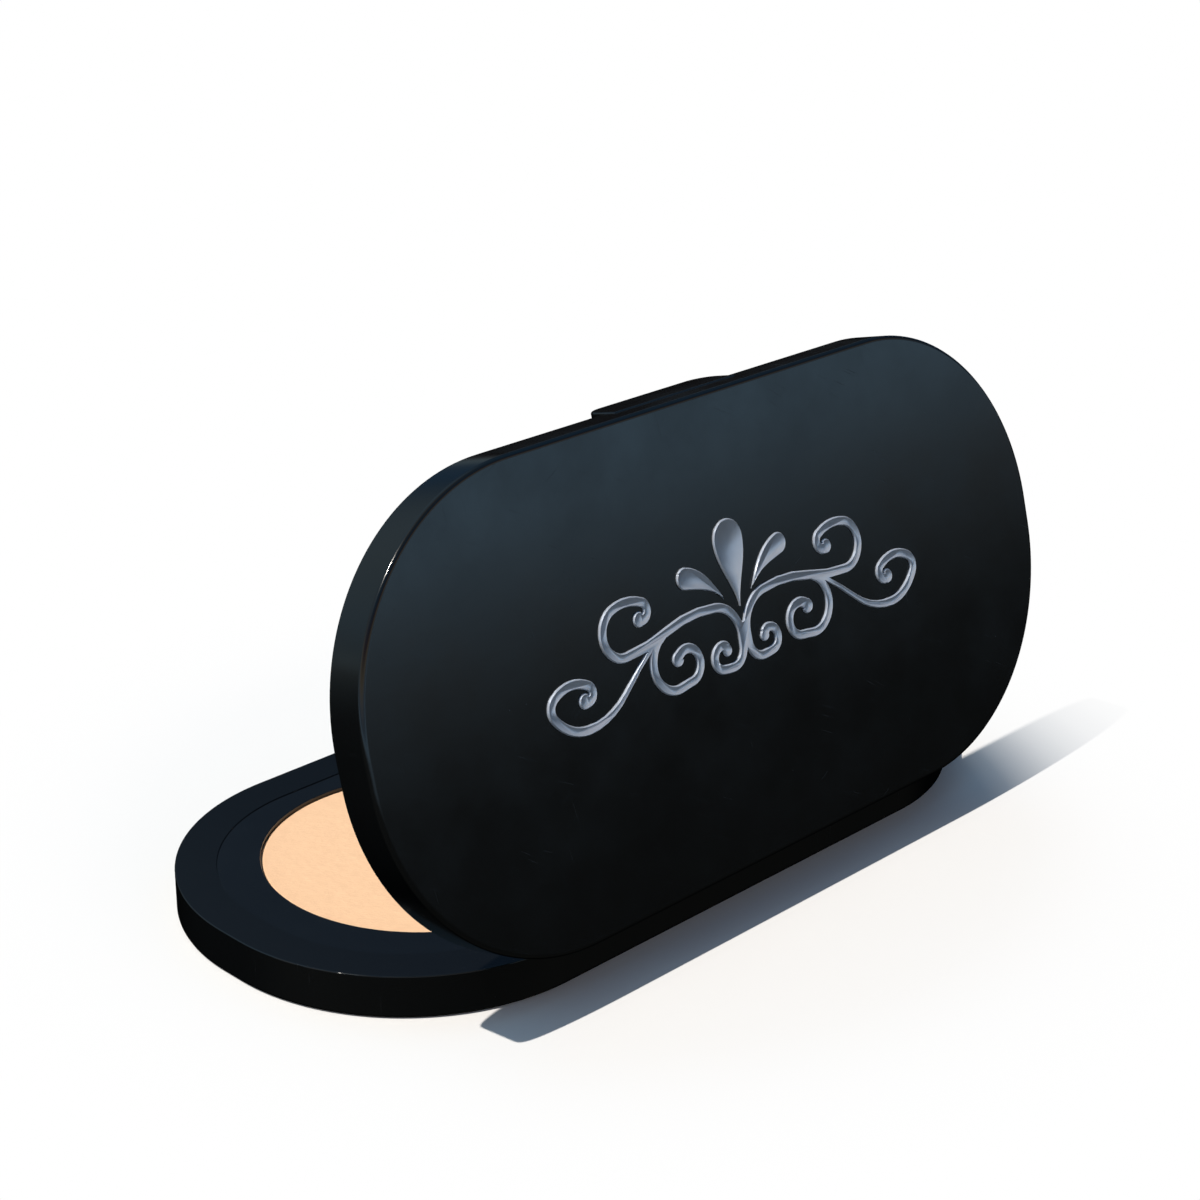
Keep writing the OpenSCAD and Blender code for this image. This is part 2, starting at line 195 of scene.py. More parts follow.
def lean(nodes, links, direction, toward, low, high):
    """A soft weight that is 1 where the sky lies toward a direction and 0 away from it."""
    dot = nodes.new("ShaderNodeVectorMath")
    dot.operation = "DOT_PRODUCT"
    dot.inputs[1].default_value = Vector(toward).normalized()
    links.new(direction, dot.inputs[0])
    soft = nodes.new("ShaderNodeMapRange")
    soft.interpolation_type = "SMOOTHSTEP"
    soft.inputs["From Min"].default_value, soft.inputs["From Max"].default_value = low, high
    links.new(dot.outputs["Value"], soft.inputs["Value"])
    return soft.outputs[0]


def make_sky():
    world = bpy.data.worlds.new("studio_sky")
    bpy.context.scene.world = world
    world.use_nodes = True
    nodes, links = world.node_tree.nodes, world.node_tree.links
    direction = nodes.new("ShaderNodeTexCoord").outputs["Generated"]
    split = nodes.new("ShaderNodeSeparateXYZ")
    links.new(direction, split.inputs[0])
    to_unit = nodes.new("ShaderNodeMath")
    to_unit.operation = "MULTIPLY_ADD"
    to_unit.inputs[1].default_value = to_unit.inputs[2].default_value = 0.5
    links.new(split.outputs["Z"], to_unit.inputs[0])
    all_round = sky_ramp(nodes, [(-0.06, (0, 0, 0)), (0.0, (0.02, 0.01, 0.01)), (0.05, (0.13, 0.18, 0.20)),
                                 (0.12, (0.03, 0.06, 0.10)), (0.22, (0.02, 0.07, 0.14)), (0.38, (0.01, 0.03, 0.06)),
                                 (0.55, (0.03, 0.06, 0.12)), (0.78, (0.02, 0.15, 0.31)), (1.0, (0.12, 0.13, 0.16))])
    bright_side = sky_ramp(nodes, [(-0.06, (0.04, 0.04, 0.035)), (0.0, (0.30, 0.37, 0.41)), (0.05, (0.61, 1.02, 1.42)),
                                   (0.12, (0.12, 0.20, 0.30)), (0.22, (0.45, 0.50, 0.56)), (0.36, (0.64, 0.52, 0.30)),
                                   (0.55, (0.14, 0.04, 0.02)), (0.78, (0, 0, 0))])
    # the bright side lies beyond the hinge; the flat direction keeps it a matter of compass only
    flat = nodes.new("ShaderNodeVectorMath")
    flat.operation = "MULTIPLY"
    flat.inputs[1].default_value = (1, 1, 0)
    links.new(direction, flat.inputs[0])
    level_ = nodes.new("ShaderNodeVectorMath")
    level_.operation = "NORMALIZE"
    links.new(flat.outputs[0], level_.inputs[0])
    side = lean(nodes, links, level_.outputs[0], (0.5, 0.866, 0), -0.4, 0.5)
    softbox = lean(nodes, links, direction, (0.354, -0.612, 0.707), 0.5, 0.97)
    total = None
    for ramp, weight in ((all_round, None), (bright_side, side)):
        links.new(to_unit.outputs[0], ramp.inputs[0])
        color = ramp.outputs[0]
        if weight is not None:
            scale = nodes.new("ShaderNodeVectorMath")
            scale.operation = "SCALE"
            links.new(color, scale.inputs[0])
            links.new(weight, scale.inputs["Scale"])
            color = scale.outputs[0]
        total = color if total is None else vector_sum(nodes, links, total, color)
    box = nodes.new("ShaderNodeVectorMath")
    box.operation = "SCALE"
    box.inputs[0].default_value = (0.11, 0.15, 0.165)
    links.new(softbox, box.inputs["Scale"])
    total = vector_sum(nodes, links, total, box.outputs[0])
    # what the camera sees past the floor's edge is plain white
    ray = nodes.new("ShaderNodeLightPath")
    mix = nodes.new("ShaderNodeMix")
    mix.data_type = "RGBA"
    links.new(ray.outputs["Is Camera Ray"], mix.inputs["Factor"])
    links.new(total, mix.inputs[6])
    mix.inputs[7].default_value = (0.5, 0.5, 0.5, 1)
    links.new(mix.outputs[2], nodes["Background"].inputs["Color"])
    nodes["Background"].inputs["Strength"].default_value = 2.0


def vector_sum(nodes, links, a, b):
    node = nodes.new("ShaderNodeVectorMath")
    links.new(a, node.inputs[0])
    links.new(b, node.inputs[1])
    return node.outputs[0]


def make_sun():
    data = bpy.data.lights.new("key_sun", "SUN")
    data.energy = 3.43
    data.color = (1.0, 0.936, 0.853)
    data.angle = math.radians(0.8)
    sun = bpy.data.objects.new("key_sun", data)
    bpy.context.scene.collection.objects.link(sun)
    sun.rotation_mode = "QUATERNION"
    sun.rotation_quaternion = Vector((-0.51, 0.175, -1.0)).to_track_quat("-Z", "Y")
    return sun


make_floor()
make_sky()
make_sun()
bpy.context.scene.view_settings.view_transform = "Standard"
print("floor, sky and sun are in place")

# %% [markdown]
# ## Helpers for modelling
# An operator acts on everything that is selected, so each helper deselects first.
# Faces and edges are picked in code by where they are.

# %% Modelling helpers
def deselect_all():
    if bpy.context.object and bpy.context.object.mode == "EDIT":
        bpy.ops.object.mode_set(mode="OBJECT")
    bpy.ops.object.select_all(action="DESELECT")


def only(piece):
    """Make this piece the one selected and active object."""
    deselect_all()
    piece.select_set(True)
    bpy.context.view_layer.objects.active = piece
    return piece


def pick(kind, test):
    """In edit mode, select only the edges or faces that pass the test; returns how many."""
    bpy.ops.mesh.select_mode(type={"verts": "VERT", "edges": "EDGE", "faces": "FACE"}[kind])
    bpy.ops.mesh.select_all(action="DESELECT")
    mesh = bmesh.from_edit_mesh(bpy.context.object.data)
    chosen = [item for item in getattr(mesh, kind) if test(item)]
    for item in chosen:
        item.select_set(True)
    mesh.select_flush_mode()
    bmesh.update_edit_mesh(bpy.context.object.data)
    return len(chosen)


def level(item, z, tol=1e-3):
    """True if an edge or face lies flat at height z."""
    return all(abs(v.co.z - z) < tol for v in item.verts)


def rim_edges(edge, z):
    """True for an edge at height z between a flat face and an upright one."""
    return level(edge, z) and len({abs(round(f.normal.z, 2)) > 0.9 for f in edge.link_faces}) == 2


def inset(thickness, depth=0.0):
    bpy.ops.mesh.inset(thickness=thickness, depth=depth, use_even_offset=True, use_boundary=True)


def push(dz):
    """Extrude the picked faces straight up or down."""
    bpy.ops.mesh.extrude_region_move(TRANSFORM_OT_translate={"value": (0, 0, dz)})


def case_block(name, z0, z1, inset_by=0.0, steps=40):
    """A solid with the case's plan outline, between two heights."""
    deselect_all()
    bpy.ops.mesh.primitive_cube_add(size=1, location=(0, 0, (z0 + z1) / 2))
    piece = bpy.context.object
    piece.name = name
    piece.scale = (case_l - 2 * inset_by, case_w - 2 * inset_by, z1 - z0)
    bpy.ops.object.transform_apply(location=True, rotation=True, scale=True)
    bpy.ops.object.mode_set(mode="EDIT")
    pick("edges", lambda e: abs(e.verts[0].co.z - e.verts[1].co.z) > 0.01)
    bpy.ops.mesh.bevel(offset=corner_r - inset_by, segments=steps, affect="EDGES", clamp_overlap=False)
    return piece


def soften(z, width, steps):
    """In edit mode, round every upright-to-flat edge at height z."""
    pick("edges", lambda e: rim_edges(e, z))
    bpy.ops.mesh.bevel(offset=width, segments=steps, affect="EDGES", clamp_overlap=True)


def rod(name, radius, x0, x1, y, z, steps=48):
    """A round bar along X."""
    deselect_all()
    bpy.ops.mesh.primitive_cylinder_add(vertices=steps, radius=radius, depth=x1 - x0,
                                        location=((x0 + x1) / 2, y, z), rotation=(0, math.pi / 2, 0))
    piece = bpy.context.object
    piece.name = name
    bpy.ops.object.transform_apply(location=True, rotation=True, scale=True)
    return piece


def upright(name, radius, x, y, z0, z1, steps=160):
    """A round bar along Z."""
    deselect_all()
    bpy.ops.mesh.primitive_cylinder_add(vertices=steps, radius=radius, depth=z1 - z0,
                                        location=(x, y, (z0 + z1) / 2))
    piece = bpy.context.object
    piece.name = name
    bpy.ops.object.transform_apply(location=True, rotation=True, scale=True)
    return piece


def combine(piece, tool, how):
    """Boolean the tool into the piece and throw the tool away."""
    only(piece)
    mod = piece.modifiers.new("cut", "BOOLEAN")
    mod.operation = how
    mod.solver = "EXACT"
    mod.object = tool
    bpy.ops.object.modifier_apply(modifier=mod.name)
    bpy.data.objects.remove(tool, do_unlink=True)
    return piece


def swing_open(piece):
    """Turn a piece modelled on the closed lid to where the open lid stands."""
    pivot = Vector((0, hinge_y, hinge_z))
    turn = Matrix.Translation(pivot) @ Matrix.Rotation(-lid_open, 4, "X") @ Matrix.Translation(-pivot)
    piece.data.transform(turn)
    return piece


def finish_piece(piece, body, material, *nodes, slot, smooth=30, weighted=True):
    """Scale to metres, shade, give the finish, and hang the piece on its body."""
    only(piece)
    piece.data.transform(Matrix.Scale(MM, 4))
    piece.data.validate()
    bpy.ops.object.shade_smooth_by_angle(angle=math.radians(smooth))
    if weighted:
        mod = piece.modifiers.new("even_shading", "WEIGHTED_NORMAL")
        mod.keep_sharp = True
        bpy.ops.object.modifier_apply(modifier=mod.name)
    piece.data.materials.clear()
    piece.data.materials.append(material)
    if nodes:
        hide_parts(*nodes)
    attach(piece, body)
    print(piece.name, len(piece.data.polygons), "faces")
    return piece


# %% [markdown]
# ## Finishes
# Each finish is a small node tree on Object coordinates, which are in metres here,
# so a scale of 1000 gives one pattern cell for each millimetre.
# A number that is the same all over is set on the shader itself.

# %% Material helpers
def new_finish(name, color, roughness, metallic=0.0, **extra):
    mat = bpy.data.materials.new(name)
    mat.use_nodes = True
    shader = mat.node_tree.nodes["Principled BSDF"]
    shader.inputs["Base Color"].default_value = (*color, 1)
    shader.inputs["Roughness"].default_value = roughness
    shader.inputs["Metallic"].default_value = metallic
    for key, value in extra.items():
        shader.inputs[key.replace("_", " ")].default_value = value
    return mat


class Tree:
    """Short names for adding and joining the nodes of one material."""

    def __init__(self, mat):
        self.nodes, self.links = mat.node_tree.nodes, mat.node_tree.links
        self.shader = self.nodes["Principled BSDF"]
        self.coords = self.nodes.new("ShaderNodeTexCoord")

    def grid(self, size, tilt=0.0, spin=0.0, shift=0.0):
        """Coordinates that grow by 1 for every pattern cell; size is the cell in millimetres.

        A list of three sizes makes long cells. The tilt lays the pattern in the open lid's
        plane and the spin turns it within the plane.
        """
        node = self.nodes.new("ShaderNodeMapping")
        node.vector_type = "TEXTURE"
        turn = Matrix.Rotation(-tilt, 3, "X") @ Matrix.Rotation(spin, 3, "Z")
        node.inputs["Rotation"].default_value = turn.to_euler()
        sizes = size if isinstance(size, (list, tuple)) else (size, size, size)
        node.inputs["Scale"].default_value = [v * MM for v in sizes]
        node.inputs["Location"].default_value = (shift * MM, shift * MM, shift * MM)
        self.links.new(self.coords.outputs["Object"], node.inputs["Vector"])
        return node.outputs[0]

    def noise(self, vector, detail=3.0, rough=0.5, distortion=0.0):
        node = self.nodes.new("ShaderNodeTexNoise")
        for key, value in (("Scale", 1.0), ("Detail", detail), ("Roughness", rough), ("Distortion", distortion)):
            node.inputs[key].default_value = value
        self.links.new(vector, node.inputs["Vector"])
        return node.outputs["Fac"]

    def dots(self, vector, feature="F1"):
        """Distance to the nearest of many scattered points, one to a cell."""
        node = self.nodes.new("ShaderNodeTexVoronoi")
        node.feature = feature
        node.inputs["Scale"].default_value = 1.0
        self.links.new(vector, node.inputs["Vector"])
        return node.outputs["Distance"]

    def spread(self, value, low, high, out_low=0.0, out_high=1.0):
        """Map a value from low..high to out_low..out_high, held at both ends."""
        node = self.nodes.new("ShaderNodeMapRange")
        for i, number in enumerate((low, high, out_low, out_high), start=1):
            node.inputs[i].default_value = number
        self.links.new(value, node.inputs[0])
        return node.outputs[0]

    def calc(self, how, a, b):
        node = self.nodes.new("ShaderNodeMath")
        node.operation = how
        for i, value in enumerate((a, b)):
            if isinstance(value, (int, float)):
                node.inputs[i].default_value = value
            else:
                self.links.new(value, node.inputs[i])
        return node.outputs[0]

    def tint(self, value, low, high):
        """Blend two colours by a value from 0 to 1."""
        node = self.nodes.new("ShaderNodeMix")
        node.data_type = "RGBA"
        self.links.new(value, node.inputs["Factor"])
        node.inputs[6].default_value = (*low, 1)
        node.inputs[7].default_value = (*high, 1)
        return node.outputs[2]

    def set(self, socket, value):
        self.links.new(value, self.shader.inputs[socket])

    def bump(self, height, depth, strength=1.0):
        """Raise the surface by the height value; depth is in millimetres."""
        node = self.nodes.new("ShaderNodeBump")
        node.inputs["Strength"].default_value = strength
        node.inputs["Distance"].default_value = depth * MM
        self.links.new(height, node.inputs["Height"])
        self.links.new(node.outputs[0], self.shader.inputs["Normal"])


def hairlines(tree, tilt, spin, seed):
    """Fine scratches in one direction: long thin noise cells, kept only in patches."""
    lines = tree.noise(tree.grid((6.5, 0.11, 6.5), tilt, spin, seed), 1.0)
    patches = tree.noise(tree.grid(6.0, tilt, spin, seed * 3), 2.0)
    return tree.calc("MULTIPLY", tree.spread(lines, 0.70, 0.78), tree.spread(patches, 0.54, 0.68))


# %% [markdown]
# ### Black plastic
# The case is moulded in black and polished. Up close it carries hairline scratches,
# specks of dust and faint smears, which show where the roughness changes.
# The tray, the bezel and the cover have the fine matte grain of an etched mould.

# %% Black plastics
def gloss_black(name, tilt=0.0):
    mat = new_finish(name, (0.0042, 0.0048, 0.0052), 0.15, IOR=1.5)
    t = Tree(mat)
    smear = t.spread(t.noise(t.grid(9, tilt), 4.0, 0.6), 0.35, 0.75, 0.11, 0.18)
    marks = hairlines(t, tilt, 0.45, 3.1)
    for spin, seed in ((1.7, 7.7), (-0.5, 11.3), (2.5, 17.9)):
        marks = t.calc("MAXIMUM", marks, hairlines(t, tilt, spin, seed))
    specks = t.spread(t.dots(t.grid(2.2, tilt)), 0.03, 0.05, 1.0, 0.0)
    rare = t.spread(t.noise(t.grid(14, tilt, 0, 5), 2.0), 0.52, 0.60)
    marks = t.calc("MAXIMUM", marks, t.calc("MULTIPLY", specks, rare))
    t.set("Roughness", t.calc("ADD", smear, t.calc("MULTIPLY", marks, 0.18)))
    t.set("Base Color", t.tint(marks, (0.0042, 0.0048, 0.0052), (0.008, 0.009, 0.010)))
    wave = t.noise(t.grid(4, tilt), 2.0)
    t.bump(t.calc("ADD", wave, t.calc("MULTIPLY", marks, -0.3)), 0.003)
    return mat


def satin_black(name):
    mat = new_finish(name, (0.0045, 0.0052, 0.0065), 0.34, IOR=1.5)
    t = Tree(mat)
    t.set("Roughness", t.spread(t.noise(t.grid(8)), 0.3, 0.7, 0.20, 0.28))
    t.set("Base Color", t.tint(t.noise(t.grid(3.3)), (0.0036, 0.0042, 0.0052), (0.0050, 0.0058, 0.0070)))
    t.bump(t.noise(t.grid(0.19), 3.0, 0.7), 0.006)
    return mat


gloss = gloss_black("gloss_black_base")
gloss_lid = gloss_black("gloss_black_lid", lid_open)
satin = satin_black("satin_black")

# %% [markdown]
# ### Silver, steel, aluminium and mirror
# The ornament is a satin silver with a fine grain all over.
# The pins are drawn wire, so their grain runs along X. The mirror is plain silvered glass.

# %% Metals and mirror
def satin_silver():
    mat = new_finish("satin_silver", (0.56, 0.62, 0.72), 0.36, 0.45, IOR=1.5)
    t = Tree(mat)
    t.set("Base Color", t.tint(t.noise(t.grid(1.4, lid_open)), (0.60, 0.66, 0.76), (0.68, 0.74, 0.84)))
    t.set("Roughness", t.spread(t.noise(t.grid(0.24, lid_open), 2.0), 0.3, 0.7, 0.30, 0.46))
    t.bump(t.noise(t.grid(0.17, lid_open), 2.0, 0.6), 0.002)
    return mat


def drawn_metal(name, color, size):
    mat = new_finish(name, color, 0.3, 1.0)
    t = Tree(mat)
    lines = t.noise(t.grid(size))
    t.set("Roughness", t.spread(lines, 0.3, 0.7, 0.22, 0.42))
    t.bump(lines, 0.002)
    return mat


def silvered_glass():
    mat = new_finish("silvered_glass", (0.90, 0.92, 0.93), 0.015, 1.0)
    t = Tree(mat)
    t.set("Roughness", t.spread(t.noise(t.grid(16), 4.0), 0.45, 0.8, 0.008, 0.05))
    return mat


silver = satin_silver()
steel = drawn_metal("drawn_steel", (0.56, 0.56, 0.57), (3.3, 0.11, 0.11))
aluminium = drawn_metal("pressed_aluminium", (0.78, 0.79, 0.80), (0.4, 0.4, 2.5))
mirror_finish = silvered_glass()

# %% [markdown]
# ### Powder, puff, tape and paper
# Pressed powder is quite matt. The cloth it is pressed through leaves rows of tiny
# creases in it. The puff is flocked on one side and satin on the other.

# %% Soft finishes
def pressed_powder():
    mat = new_finish("pressed_powder", (0.86, 0.47, 0.265), 0.92, **{"Specular_IOR_Level": 0.15})
    t = Tree(mat)
    mottle = t.spread(t.noise(t.grid(1.1), 5.0, 0.65), 0.3, 0.7)
    t.set("Base Color", t.tint(mottle, (0.88, 0.565, 0.348), (0.93, 0.605, 0.375)))
    crease = t.noise(t.grid((0.62, 0.22, 0.5), 0, math.radians(137)), 2.0, 0.6, 0.8)
    grain = t.noise(t.grid(0.16), 2.0, 0.7)
    t.bump(t.calc("ADD", crease, t.calc("MULTIPLY", grain, 0.4)), 0.05)
    return mat


def flocked_velour():
    mat = new_finish("flocked_velour", (0.80, 0.66, 0.52), 0.95, Sheen_Weight=0.5, Sheen_Roughness=0.4)
    t = Tree(mat)
    nap = t.spread(t.noise(t.grid(2.4), 4.0, 0.6), 0.35, 0.65)
    t.set("Base Color", t.tint(nap, (0.74, 0.59, 0.45), (0.86, 0.73, 0.60)))
    t.bump(t.noise(t.grid(0.14), 2.0, 0.8), 0.06)
    return mat


def woven_satin(name, low, high):
    mat = new_finish(name, high, 0.38, Sheen_Weight=0.35, Sheen_Roughness=0.3)
    t = Tree(mat)
    warp = t.noise(t.grid((2.5, 0.14, 2.5)), 2.0)
    weft = t.noise(t.grid((0.14, 1.1, 1.1)), 2.0)
    weave = t.calc("ADD", warp, t.calc("MULTIPLY", weft, 0.5))
    t.set("Base Color", t.tint(t.spread(weave, 0.5, 1.0), low, high))
    t.set("Roughness", t.spread(warp, 0.3, 0.7, 0.30, 0.48))
    t.bump(weave, 0.012)
    return mat


def plain_grain(name, color, roughness, size, depth):
    mat = new_finish(name, color, roughness)
    t = Tree(mat)
    shade = t.spread(t.noise(t.grid(size * 4), 4.0), 0.3, 0.7)
    t.set("Base Color", t.tint(shade, [c * 0.92 for c in color], color))
    t.bump(t.noise(t.grid(size), 3.0, 0.7), depth)
    return mat


powder = pressed_powder()
velour = flocked_velour()
satin_cloth = woven_satin("puff_satin", (0.70, 0.58, 0.47), (0.84, 0.73, 0.62))
ribbon_cloth = woven_satin("ribbon_satin", (0.80, 0.74, 0.67), (0.92, 0.87, 0.81))
paper = plain_grain("label_paper", (0.80, 0.80, 0.78), 0.75, 0.38, 0.010)
foam = plain_grain("foam_tape", (0.80, 0.79, 0.74), 0.8, 0.33, 0.020)
print(len(bpy.data.materials), "materials")

# %% [markdown]
# ## Base
# The base is a ring: a side wall with a flat rim on top. It starts as a block whose
# upright edges are bevelled into the round ends. The rim is inset from above, the
# seat of the bottom cover from below, and the two inner loops are bridged.

# %% Base housing
def hollow_ring(z_top, z_low, seat_top, seat_low, first, second):
    """From a block in edit mode, recess the top and the underside and bridge the two."""
    pick("faces", lambda f: level(f, z_top))
    inset(first[0])
    push(-(z_top - seat_top))
    inset(first[1])
    bpy.ops.mesh.delete(type="ONLY_FACE")
    pick("faces", lambda f: level(f, z_low))
    inset(second[0])
    push(seat_low - z_low)
    inset(second[1])
    bpy.ops.mesh.delete(type="ONLY_FACE")
    pick("edges", lambda e: e.is_boundary)
    bpy.ops.mesh.bridge_edge_loops()


def knuckle(name, x0, x1, side):
    """A hinge knuckle with the gusset that joins it to the wall; side is -1 below, 1 above."""
    piece = rod(name, knuckle_r, x0, x1, hinge_y, hinge_z)
    t = knuckle_r * math.cos(math.radians(45))
    foot = 2 * t + hinge_y - case_w / 2
    root = case_w / 2 - wall / 2
    section = [(root, hinge_z + side * foot), (case_w / 2, hinge_z + side * foot),
               (hinge_y + t, hinge_z + side * t), (hinge_y, hinge_z), (root, hinge_z + side * 0.33)]
    mesh = bpy.data.meshes.new(name + "_gusset")
    points = [(x, y, z) for x in (x0, x1) for y, z in section]
    n = len(section)
    faces = [list(range(n)), list(range(2 * n - 1, n - 1, -1))]
    faces += [[i, i + n, (i + 1) % n + n, (i + 1) % n] for i in range(n)]
    mesh.from_pydata(points, [], faces)
    gusset = bpy.data.objects.new(name + "_gusset", mesh)
    bpy.context.scene.collection.objects.link(gusset)
    only(gusset)
    bpy.ops.object.mode_set(mode="EDIT")
    bpy.ops.mesh.select_all(action="SELECT")
    bpy.ops.mesh.normals_make_consistent(inside=False)
    bpy.ops.object.mode_set(mode="OBJECT")
    return combine(piece, gusset, "UNION")


def tab_block(name, grow, y0, y1):
    """The catch tab's plate, or with grow the notch that takes it."""
    low, high = lid_z - tab_drop - grow, lid_z + 1.6
    deselect_all()
    bpy.ops.mesh.primitive_cube_add(size=1, location=(0, (y0 + y1) / 2, (low + high) / 2))
    piece = bpy.context.object
    piece.name = name
    piece.scale = (tab_w + 2 * grow, y1 - y0, high - low)
    bpy.ops.object.transform_apply(location=True, rotation=True, scale=True)
    bpy.ops.object.mode_set(mode="EDIT")
    pick("edges", lambda e: level(e, low) and abs(e.verts[0].co.y - e.verts[1].co.y) > 0.01)
    bpy.ops.mesh.bevel(offset=tab_r, segments=12, affect="EDGES")
    pick("edges", lambda e: all(abs(v.co.y - y0) < 1e-3 for v in e.verts))
    bpy.ops.mesh.bevel(offset=0.22, segments=3, affect="EDGES")
    bpy.ops.object.mode_set(mode="OBJECT")
    return piece


def make_base():
    piece = case_block("base_case", 0, base_h)
    soften(base_h, lip_r / 2, 3)
    soften(0, edge_r, 4)
    hollow_ring(base_h, 0, tray_z, cover_t, (rim_w - lip_r / 2, ledge_w),
                (cover_inset - edge_r, rim_w + ledge_w - cover_inset))
    bpy.ops.object.mode_set(mode="OBJECT")
    tab_in = -case_w / 2 - tab_proud + tab_t
    combine(piece, tab_block("notch", tab_gap, -case_w / 2 - 1, tab_in + tab_gap), "DIFFERENCE")
    for s in (-1, 1):
        x0, x1 = sorted((s * side_in, s * side_out))
        combine(piece, knuckle("knuckle", x0, x1, -1), "UNION")
    combine(piece, rod("bead", 0.2, -tab_w / 4, tab_w / 4, tab_in + tab_gap, base_h - 2.4), "UNION")
    combine(piece, rod("notch", knuckle_r + knuckle_gap, -side_in, side_in, hinge_y, hinge_z), "DIFFERENCE")
    combine(piece, rod("bore", 0.51, -side_out - 1, side_out + 1, hinge_y, hinge_z, 32), "DIFFERENCE")
    return finish_piece(piece, "base", gloss, "base_housing", slot="gloss_black")


base_case = make_base()

# %% [markdown]
# ## Tray
# The tray is a thin deck with a round window for the powder and a cup for the puff.
# Both are cut out of the plate, and the rims of the holes are rounded.

# %% Tray
def make_tray():
    piece = case_block("tray_deck", tray_z, tray_face, rim_w + 0.02)
    soften(tray_face, 0.06, 2)
    bpy.ops.object.mode_set(mode="OBJECT")
    skirt_z, cup_r = cover_t + 0.05, puff_r + 0.45
    combine(piece, upright("skirt", pan_r + 0.1 + well_wall, well_x, 0, skirt_z, tray_z + 0.45), "UNION")
    combine(piece, upright("skirt", cup_r + well_wall, puff_x, 0, skirt_z, tray_z + 0.45), "UNION")
    combine(piece, upright("window", open_r, well_x, 0, -1, base_h + 1), "DIFFERENCE")
    combine(piece, upright("pocket", pan_r + 0.1, well_x, 0, -1, tray_top - 0.5), "DIFFERENCE")
    combine(piece, upright("cup", cup_r, puff_x, 0, pad_box[0][2] - 0.05, base_h + 1), "DIFFERENCE")
    only(piece)
    bpy.ops.object.mode_set(mode="EDIT")
    pick("edges", lambda e: rim_edges(e, tray_face) and all(abs(math.hypot(abs(v.co.x) - well_x, v.co.y) - open_r)
         < 0.02 for v in e.verts))
    bpy.ops.mesh.bevel(offset=0.09, segments=3, affect="EDGES")
    bpy.ops.object.mode_set(mode="OBJECT")
    return finish_piece(piece, "base", satin, "inner_tray", slot="satin_black")


tray_deck = make_tray()

# %% [markdown]
# ## Pressed powder
# The cake is a low disc whose face is cut into many rings, so that its surface can be
# pressed into shape. Two fine patterns are pushed into the rings: a soft unevenness
# and the crazed grain of the press cloth. The edge is rounded and stays untouched.

# %% Powder cake
def make_powder():
    low, high = cake_box[0][2], cake_box[1][2]
    face_r, body_r = open_r - 0.2, pan_r - 0.3
    shoulder = tray_top - 0.55
    piece = upright("powder_face", body_r, well_x, 0, low, shoulder, 256)
    bpy.ops.object.mode_set(mode="EDIT")
    pick("faces", lambda f: level(f, shoulder))
    inset(body_r - face_r)
    push(high - shoulder)
    pick("edges", lambda e: rim_edges(e, high))
    bpy.ops.mesh.bevel(offset=0.14, segments=3, affect="EDGES")
    pick("faces", lambda f: level(f, high))
    rings = 74
    step = (face_r - 0.14) / (rings + 1.5)
    for _ in range(rings):
        inset(step)
    bpy.ops.mesh.poke()
    bpy.ops.object.mode_set(mode="OBJECT")
    for v in piece.data.vertices:
        x, y = v.co.x - well_x, v.co.y
        reach = math.hypot(x, y)
        if v.co.z > high - 1e-3 and reach < face_r - 0.2:
            fade = min(1.0, (face_r - 0.2 - reach) / 1.5)
            spot = Vector((x * 0.8 + y * 0.5, y * 1.4 - x * 0.45, 0.3))
            craze = noise.voronoi(spot * 1.25)[0]
            ridge = min(1.0, (craze[1] - craze[0]) * 3.0)
            soft = noise.fractal(Vector((x, y, 1.7)) * 0.35, 1.0, 2.0, 3)
            v.co.z += fade * (0.030 * (ridge - 1.0) + 0.035 * soft - 0.02)
    return finish_piece(piece, "base", powder, "powder_cake", slot="pressed_powder", smooth=50, weighted=False)


powder_face = make_powder()

# %% [markdown]
# ## Lid
# The lid is the same block as the base with a larger rounding on its outer edge. Its
# hollow is pushed in from below. The tab and the middle knuckle are joined on, and
# two notches make room for the base's knuckles. It is modelled closed, then swung open.

# %% Lid shell
def make_lid():
    piece = case_block("lid_case", lid_z, lid_top_z)
    soften(lid_top_z, edge_r, 5)
    soften(lid_z, lip_r, 3)
    pick("faces", lambda f: level(f, lid_z))
    inset(wall - lip_r)
    push(roof_z - lid_z)
    bpy.ops.object.mode_set(mode="OBJECT")
    tab_in = -case_w / 2 - tab_proud + tab_t
    combine(piece, tab_block("tab", 0, tab_in - tab_t, tab_in), "UNION")
    combine(piece, knuckle("knuckle", -mid_knuckle / 2, mid_knuckle / 2, 1), "UNION")
    for s in (-1, 1):
        x0, x1 = sorted((s * mid_knuckle / 2, s * (side_out + knuckle_gap)))
        combine(piece, rod("notch", knuckle_r + knuckle_gap, x0, x1, hinge_y, hinge_z), "DIFFERENCE")
    combine(piece, rod("bore", 0.54, -mid_knuckle, mid_knuckle, hinge_y, hinge_z, 32), "DIFFERENCE")
    combine(piece, rod("groove", 0.25, -tab_w / 4 - 0.25, tab_w / 4 + 0.25, tab_in + 0.1, base_h - 2.4),
            "DIFFERENCE")
    swing_open(piece)
    return finish_piece(piece, "lid", gloss_lid, "lid_shell", slot="gloss_black")


lid_case = make_lid()

# %% [markdown]
# ## Mirror and bezel
# The bezel is a ring that holds the mirror's edge. The glass has a small polished
# bevel all round, as cut mirrors do.

